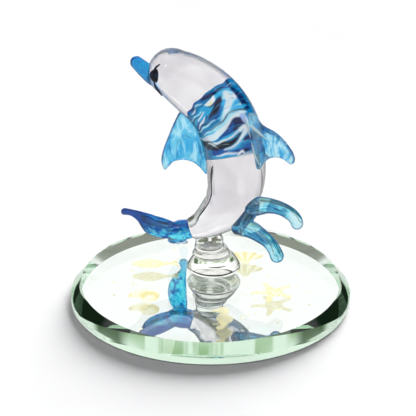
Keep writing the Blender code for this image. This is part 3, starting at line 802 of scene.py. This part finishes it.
def silver():
    tones = [(0.2, (0.955, 0.96, 0.965)), (0.8, (0.93, 0.935, 0.94))]
    return grained("silvering", tones, 0.08, 2.0, Metallic=1.0, Roughness=0.0).material


def coat():
    tones = [(0.3, (0.34, 0.36, 0.37)), (0.7, (0.46, 0.48, 0.49))]
    return grained("backing_paint", tones, 1.6, 4.0, bump=(0.2, 0.0002), Roughness=0.6).material


def adhesive():
    tones = [(0.4, (0.95, 0.96, 0.94)), (0.7, (0.9, 0.92, 0.88))]
    look = grained("clear_adhesive", tones, 0.7, 2.0, Transmission_Weight=1.0, Roughness=0.05, IOR=1.48)
    return look.material


def floor_paint():
    tones = [(0.3, (0.9, 0.9, 0.905)), (0.7, (0.92, 0.92, 0.925))]
    return grained("floor", tones, 0.04, 2.0, Roughness=0.9).material


def gold_print(motif, centre, pattern):
    """The translucent gold print of one motif, drawn in darker lines or dots over a paler ground, with a
    faint painted glow that lightens its shaded underside in the mirror.
    """
    look = Look(f"gold_print_{motif}", Roughness=0.9, Transmission_Weight=0.8, IOR=1.02)
    place = look.place((-centre[0], -centre[1], 0.0))
    across, ahead, _ = look.split(place)
    if pattern in CELL_SCALES:
        cells = look.node("ShaderNodeTexVoronoi")
        distance = look.fed(cells, [("Vector", place), ("Scale", CELL_SCALES[pattern])], "Distance")
        lines = look.grey(distance, 0.15, 0.75, 1.0, -1.0)
    else:
        around = look.math("ARCTAN2", ahead, across)
        if pattern == "ribs":
            phase = look.math("MULTIPLY", around, 17.0)
        elif pattern == "spiral":
            out = look.node("ShaderNodeVectorMath", operation="LENGTH")
            reach = look.fed(out, [(0, place)], "Value")
            phase = look.math("ADD", look.math("MULTIPLY", reach, 3.2), around)
        else:
            leaning = look.math("ADD", ahead, look.math("MULTIPLY", across, 0.4))
            phase = look.math("MULTIPLY", leaning, 6.0)
        lines = look.math("SINE", phase)
    drawn = look.math("ADD", lines, look.grey(look.noise(place, 1.1, 3.0), 0.3, 0.7, -0.7, 0.7))
    tones = [(0.3, (0.95, 0.92, 0.74)), (0.85, (0.82, 0.76, 0.46))]
    # painted light: the print glows faintly, so that its reflection is not left in shade
    look.glow(look.ramp(look.grey(drawn, -1.2, 1.2), tones), PRINT_GLOW)
    return look.material


# The pieces


def add(piece, slot, *nodes):
    """A piece that rides the body. Light passes through the figure, so only the plate shades the floor."""
    piece.visible_shadow = slot == "plate_glass"
    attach(piece, "root")
    if nodes:
        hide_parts(*nodes)
    return piece


def body_run(steps=10, swell=0.0):
    """The run of the body, domed at the forehead, with its radius changed by swell."""
    run = through([(x, BODY_Y, z, radius + swell) for x, z, radius in SPINE], steps)
    return domed(run[::-1], 14)[::-1]


def plane_of(plane):
    """A point of a leaning plane and its normal."""
    (x, z), lean, tip = plane
    turn = Matrix.Rotation(math.radians(lean), 3, "Y") @ Matrix.Rotation(math.radians(-tip), 3, "X")
    return np.array((x, BODY_Y, z)), np.array(turn @ Vector((0, 0, 1)))


def trimmed(piece, cutter):
    """The piece without what lies inside the cutter."""
    modifier = piece.modifiers.new("trim", "BOOLEAN")
    modifier.operation = "DIFFERENCE"
    modifier.object = cutter
    modifier.solver = "EXACT"
    bpy.context.view_layer.update()
    graph = bpy.context.evaluated_depsgraph_get()
    mesh = bpy.data.meshes.new_from_object(piece.evaluated_get(graph))
    piece.modifiers.clear()
    piece.data = mesh
    return piece


def crossing(values):
    """The index, with its fraction, where the values first pass from above zero to below."""
    for index in range(len(values) - 1):
        if values[index] > 0 >= values[index + 1]:
            return index + values[index] / (values[index] - values[index + 1])
    return 0.0


def make_core():
    """The coloured gathers inside the clear casing of the chest, with wavy edges at neck and waist."""
    run = [(x, y, z, radius - CORE_INSET) for x, y, z, radius in body_run(14)]
    rings, straight = rings_of(run, CORE_SIDES)
    rng = np.random.default_rng(7)
    angles = round_angles(CORE_SIDES)

    def wavy(amount):
        total = np.zeros(CORE_SIDES)
        for turns in range(2, 15):
            total += rng.normal() * np.sin(turns * angles + rng.uniform(0, 6.3)) / turns**0.6
        return amount * total / np.abs(total).max()

    to_edges = []
    for plane, amount in ((NECK_PLANE, NECK_WAVE), (WAIST_PLANE, WAIST_WAVE)):
        on_plane, normal = plane_of(plane)
        to_edges.append(((rings - on_plane) * normal).sum(2) - wavy(amount))
    points, places = np.zeros((CORE_ROWS, CORE_SIDES, 3)), np.zeros((CORE_ROWS, CORE_SIDES, 3))
    index = np.arange(len(rings))
    for side in range(CORE_SIDES):
        start, stop = (crossing(to_edge[:, side]) for to_edge in to_edges)
        at = np.linspace(start, stop, CORE_ROWS)
        for axis in range(3):
            points[:, side, axis] = np.interp(at, index, rings[:, side, axis])
            places[:, side, axis] = np.interp(at, index, straight[:, side, axis])
    places[:, :, 2] = np.linspace(0.0, CORE_LENGTH, CORE_ROWS)[:, None]
    core = closed_tube("chest_swirl_core", points, places, chest_swirls())
    across = np.tile(np.sin(angles), (CORE_ROWS, 1))
    down = np.tile(np.linspace(0, 1, CORE_ROWS)[:, None], (1, CORE_SIDES))
    colours = stroke_colours(across, down).reshape(-1, 3)
    colours = np.concatenate([colours, [CAP_WHITE], [CAP_WHITE]])
    layer = core.data.attributes.new("swirl", "FLOAT_COLOR", "POINT")
    layer.data.foreach_set("color", np.concatenate([colours, np.ones((len(colours), 1))], axis=1).ravel())
    return core


def make_eye(name, side):
    """A drop of black glass set against the head, bent round it."""
    work = bmesh.new()
    bmesh.ops.create_uvsphere(work, u_segments=48, v_segments=32, radius=MM)
    bmesh.ops.scale(work, vec=EYE_RADII, verts=work.verts)
    for vert in work.verts:
        vert.co.x += EYE_CURVE * vert.co.z**2 / MM / 2.0
    eye = surfaced(name, work, bpy.data.meshes.new(name), EYE)
    eye.location = (EYE_X * MM, (BODY_Y + side * EYE_OUT) * MM, EYE_Z * MM)
    return eye


def make_dolphin(body_cutter):
    add(closed_tube("crystal_body", *rings_of(body_run(), 72), CLEAR), "clear_crystal", "head", "lower_body")
    add(make_core(), "royal_blue_glass", "chest_band_upper", "chest_band_middle", "chest_band_lower")
    snout = [(x, BODY_Y, z, radius) for x, z, radius in SNOUT]
    add(trimmed(rod("snout_blue", snout, SNOUT_GLASS), body_cutter), "sky_blue_glass", "snout")
    for name, side in (("near", -1), ("far", 1)):
        add(make_eye(f"eye_drop_{name}", side), "black_glass", f"eye_{name}")


def make_face_threads():
    """The dark threads of glass by the eye: the brow over it and the line of the mouth under it."""
    threads = {
        "brow_thread": [(-14.9, 2.7, 67.1, 0.22), (-14.3, 2.4, 67.9, 0.3), (-13.5, 2.4, 68.6, 0.16)],
        "mouth_thread": [(-15.0, 3.3, 63.2, 0.24), (-14.4, 2.9, 61.6, 0.36), (-13.0, 2.9, 59.4, 0.16)],
    }
    for name, points in threads.items():
        add(rod(name, points, EYE, steps=6, sides=12), "black_glass")


def make_threads_shade_and_highlight():
    """Dark and brownish threads of painted shade down both sides of the lower body, under its skin, and milky
    threads on the dorsal fin, the one along its edge a painted highlight.
    """
    side_shade = thread_shade_and_highlight_glass("side_shade_thread", (0.006, 0.006, 0.008), (0.05, 0.04, 0.035))
    brown_side_shade = thread_shade_and_highlight_glass("brown_side_shade_thread", (0.16, 0.08, 0.04), (0.42, 0.3, 0.2))
    milk_and_highlight = thread_shade_and_highlight_glass("milk_and_highlight_thread", (0.62, 0.86, 0.93), (0.94, 0.98, 1.0))
    # painted highlight: the milky thread along the dorsal fin's edge stands for the light it catches there
    fin_edge_highlight = [
        (8.9, 1.9, 54.9, 0.18), (9.6, 1.9, 51.1, 0.42), (10.5, 1.8, 46.8, 0.34),
        (11.6, 1.6, 43.1, 0.3), (13.0, 1.3, 39.9, 0.12),
    ]
    fin_streak = [(10.0, 1.7, 51.6, 0.16), (12.1, 1.2, 50.0, 0.4), (14.8, 0.5, 47.8, 0.12)]
    # painted shade: these dark and brownish threads stand for the lines of shade down the clear body's sides
    left = [
        (1.3, 4.2, 38.6, 0.1), (0.9, 4.2, 36.6, 0.42), (0.5, 4.2, 33.6, 0.36),
        (0.4, 4.3, 29.2, 0.26), (-0.8, 4.8, 26.0, 0.2), (-2.2, 5.4, 23.4, 0.24),
        (-3.4, 6.0, 21.2, 0.08),
    ]
    beside = [
        (0.5, 4.6, 38.2, 0.08), (-0.1, 4.8, 34.0, 0.14), (-0.2, 4.8, 29.8, 0.12),
        (-1.2, 5.2, 26.4, 0.1), (-2.6, 5.8, 23.6, 0.08),
    ]
    right = [
        (13.0, 4.7, 37.2, 0.08), (13.4, 4.7, 34.4, 0.22), (13.3, 4.7, 31.8, 0.2),
        (12.8, 4.9, 29.6, 0.08),
    ]
    for name, points, glass, slot in (
        ("fin_edge_highlight", fin_edge_highlight, milk_and_highlight, "sky_blue_glass"),
        ("fin_streak", fin_streak, milk_and_highlight, "sky_blue_glass"),
        ("left", left, side_shade, "black_glass"),
        ("beside", beside, brown_side_shade, "black_glass"),
        ("right", right, brown_side_shade, "black_glass"),
    ):
        add(rod(f"thread_{name}", points, glass, steps=6, sides=16), slot)


def make_stem_shade_lines():
    """Painted shade: fine dark threads round the front of the stem, drawn on its gathers where the glass
    shows dark lines of shade.
    """
    stem_shade = thread_shade_and_highlight_glass("stem_shade_thread", (0.004, 0.008, 0.008), (0.06, 0.08, 0.07))
    threads = {  # lean, radius, height, first and last angle from the front in degrees, thickness
        "foot": (0.0, 7.15, 6.5, -72, 66, 0.2),
        "side": (0.0, 6.15, 8.5, -14, 34, 0.15),
        "ring": (RING_LEAN, 5.05, 10.3, -64, 70, 0.11),
        "collar": (COLLAR_LEAN, 3.95, 12.5, -70, 60, 0.09),
    }
    for name, (lean, radius, height, first, last, thickness) in threads.items():
        points = []
        for share in np.linspace(0, 1, 9):
            angle = math.radians(first + (last - first) * share)
            x, y = STEM_X - lean + radius * math.sin(angle), STEM_Y - radius * math.cos(angle)
            points.append((x, y, height, thickness * (0.35 + 0.65 * math.sin(math.pi * share))))
        add(rod(f"stem_shade_line_{name}", points, stem_shade, steps=4, sides=12), "black_glass")


def make_fins(body_cutter):
    fins = [  # outline, where it is rooted, its heading in degrees, thickness
        ("pectoral_fin", PECTORAL_FIN, (0.0, 8.4), -6.0, 2.3, FIN),
        ("dorsal_fin", DORSAL_FIN, (12.2, 2.6), -18.0, 2.4, DORSAL),
        ("far_fin", FAR_FIN, (4.6, 15.2), 84.0, 2.2, FIN),
    ]
    for name, *shape in fins:
        add(trimmed(fin(f"{name}_glass", *shape), body_cutter), "sky_blue_glass", name)


def make_tail(body_cutter):
    knot = rod("tail_knot_glass", TAIL_KNOT, FLUKE)
    add(trimmed(knot, body_cutter), "navy_glass", "tail_knot")
    left = Matrix.Rotation(math.radians(FLUKE_LEFT_HEADING), 4, "Z")
    back = Matrix(FLUKE_BACK_TURN).to_4x4()
    for name, points, flatness, root, turn in (
        ("fluke_left", FLUKE_LEFT, FLUKE_LEFT_FLATNESS, FLUKE_LEFT_ROOT, left),
        ("fluke_back", FLUKE_BACK, FLUKE_BACK_FLATNESS, FLUKE_BACK_ROOT, back),
    ):
        place = Matrix.Translation(Vector(root) * MM) @ turn
        fluke = flat_rod(f"{name}_glass", points, flatness, place, FLUKE)
        add(trimmed(trimmed(fluke, knot), body_cutter), "royal_blue_glass", name)


def make_splash(body_cutter):
    for name, points, glass, slot in (
        ("root", SPLASH_ROOT, NAVY, "navy_glass"),
        ("upper", SPLASH_UPPER, SKY, "sky_blue_glass"),
        ("lower", SPLASH_LOWER, SKY, "sky_blue_glass"),
    ):
        add(trimmed(rod(f"splash_{name}_glass", points, glass), body_cutter), slot, f"splash_{name}")


def make_stem():
    """The three gathers of the stem, which narrow upwards and lean a little towards the tail."""
    gathers = {
        "foot": (STEM_X, FOOT_PROFILE),
        "ring": (STEM_X - RING_LEAN, RING_PROFILE),
        "collar": (STEM_X - COLLAR_LEAN, COLLAR_PROFILE),
    }
    for name, (x, profile) in gathers.items():
        piece = turned(f"stem_{name}_glass", profile, (x, STEM_Y), STEM_GLASS)
        add(piece, "clear_crystal", f"stem_{name}")


def give(node, material):
    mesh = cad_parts[node].data
    mesh.materials.clear()
    mesh.materials.append(material)


def make_plate():
    top = [(radius, PLATE_TOP) for radius in (0, INNER_RING, BEVEL_RADIUS)]
    rim = [(PLATE_RADIUS, RIM_HEIGHT)]
    bottom = [(radius, PLATE_BOTTOM) for radius in (PLATE_RADIUS, INNER_RING, 0)]
    plate = turned("bevelled_plate", [*top, *rim, *bottom], (0, 0), plate_glass(), sides=360, steps=1)
    plate.data.set_sharp_from_angle(angle=math.radians(30))
    add(plate, "plate_glass", "mirror_plate")


def make_dots():
    """The loose gold dots of the print, each a low round cushion."""
    points, faces = [], []
    for x, y, radius in DOTS:
        first = len(points)
        for height, share in ((0.0, 1.0), (DOT_HEIGHT, 0.8)):
            for step in range(DOT_SIDES):
                angle = math.pi * step / (DOT_SIDES / 2)
                ring = (x + radius * share * math.cos(angle), y + radius * share * math.sin(angle))
                points.append((*ring, PLATE_TOP + DOT_GAP + height))
        low = list(range(first, first + DOT_SIDES))
        high = [index + DOT_SIDES for index in low]
        faces += zip(low, low[1:] + low[:1], high[1:] + high[:1], high)
        faces += [tuple(reversed(low)), tuple(high)]
    add(solid("print_dots", points, faces, gold_print("dots", (0.0, 0.0), "dots")), "gold_print")


def make_mirror():
    make_plate()
    give("mirror_silvering", silver())
    give("backing_paint", coat())
    give("stem_glue", adhesive())
    for motif, (centre, pattern) in PRINTS.items():
        give(f"print_{motif}", gold_print(motif, centre, pattern))
    make_dots()


# The studio


def make_stage():
    work = bmesh.new()
    bmesh.ops.create_grid(work, x_segments=8, y_segments=8, size=FLOOR_HALF_WIDTH)
    floor = surfaced("floor", work, bpy.data.meshes.new("floor"), floor_paint())
    floor.visible_glossy = False


def make_lights():
    """A low sun behind the glass, for the floor and its shadow, and a small softbox for glints."""
    sun = bpy.data.lights.new("key", "SUN")
    sun.energy = KEY_ENERGY
    sun.angle = KEY_WIDTH
    key = linked("key", sun)
    key.rotation_euler = Vector(KEY_FROM).to_track_quat("Z", "Y").to_euler()
    key.visible_glossy = False
    softbox = bpy.data.lights.new("glint", "AREA")
    softbox.energy = GLINT_POWER
    softbox.size = GLINT_SIZE
    glint = linked("glint", softbox)
    glint.location = GLINT_PLACE
    glint.rotation_euler = (Vector(GLINT_PLACE) - AIM).to_track_quat("Z", "Y").to_euler()
    for light in (key, glint):
        light.visible_transmission = False


def make_world():
    """A white tent with its darker zones, which neither the camera nor the floor sees."""
    world = bpy.data.worlds.new("studio")
    bpy.context.scene.world = world
    world.use_nodes = True
    nodes = Nodes(world.node_tree)
    nodes.tree.nodes.clear()

    def step(source, low, high):
        return nodes.grey(source, low, high, interpolation_type="SMOOTHSTEP")

    def times(first, *factors):
        for factor in factors:
            first = nodes.math("MULTIPLY", first, factor)
        return first

    def with_zone(name, under, *gates):
        """The colour under, with a zone laid over it where its limits and the gates let it through."""
        limits, colour = ZONES[name]
        inside = [step(axes[axis], low, high) for axis, low, high in limits]
        return nodes.mix(times(*inside, *gates), under, colour)

    direction = nodes.node("ShaderNodeTexCoord").outputs["Generated"]
    across, ahead, up = nodes.split(direction)
    axes = {"sideways": nodes.math("ABSOLUTE", across), "ahead": ahead, "up": up}
    unevenness = step(nodes.noise(direction, 1.3, 1.0), 0.4, 0.6)
    speckle = step(nodes.noise(direction, 14.0, 3.0), 0.45, 0.55)
    tent = with_zone("roof gap", with_zone("table", nodes.mix(unevenness, TENT_SHADE, TENT_WHITE)))
    colour = with_zone("speckled card", tent, speckle)
    colour = with_zone("flags", with_zone("room behind", colour))
    path = nodes.node("ShaderNodeLightPath").outputs
    colour = nodes.mix(step(path["Transmission Depth"], PLAIN_AFTER - 0.4, PLAIN_AFTER + 0.4), colour, tent)
    reflected = times(step(path["Is Transmission Ray"], 1.0, 0.0), path["Is Glossy Ray"])
    colour = with_zone("side flags", colour, reflected)
    colour = nodes.mix(path["Is Diffuse Ray"], colour, (TENT_FILL, TENT_FILL, TENT_FILL))
    colour = nodes.mix(path["Is Camera Ray"], colour, (1.0, 1.0, 1.0))
    background = nodes.fed(nodes.node("ShaderNodeBackground"), [("Color", colour)], "Background")
    nodes.wire(background, nodes.node("ShaderNodeOutputWorld").inputs["Surface"])


def make_camera():
    lens = bpy.data.cameras.new("camera")
    lens.lens = CAMERA_LENS
    lens.sensor_width = SENSOR
    lens.clip_start = 0.01
    camera = linked("camera", lens)
    away = Vector((0.0, -math.cos(CAMERA_ELEVATION), math.sin(CAMERA_ELEVATION)))
    camera.location = AIM + away * CAMERA_DISTANCE
    camera.rotation_euler = away.to_track_quat("Z", "Y").to_euler()
    bpy.context.scene.camera = camera


def set_view():
    """The view and the bounces, enough for light to cross every layer of the glass."""
    scene = bpy.context.scene
    scene.view_settings.view_transform = "Standard"
    scene.cycles.max_bounces = 32
    scene.cycles.diffuse_bounces = 10
    scene.cycles.glossy_bounces = 24
    scene.cycles.transmission_bounces = 32


make_camera()
BODY_CUTTER = closed_tube("body_cutter", *rings_of(body_run(6, swell=-0.3), 48), CLEAR)
make_dolphin(BODY_CUTTER)
make_face_threads()
# threads of painted shade and a painted highlight, with real milky streaks on the dorsal fin
make_threads_shade_and_highlight()
# dark lines of painted shade on the stem
make_stem_shade_lines()
make_fins(BODY_CUTTER)
make_tail(BODY_CUTTER)
make_splash(BODY_CUTTER)
bpy.data.objects.remove(BODY_CUTTER)
make_stem()
make_mirror()
make_stage()
make_lights()
make_world()
set_view()
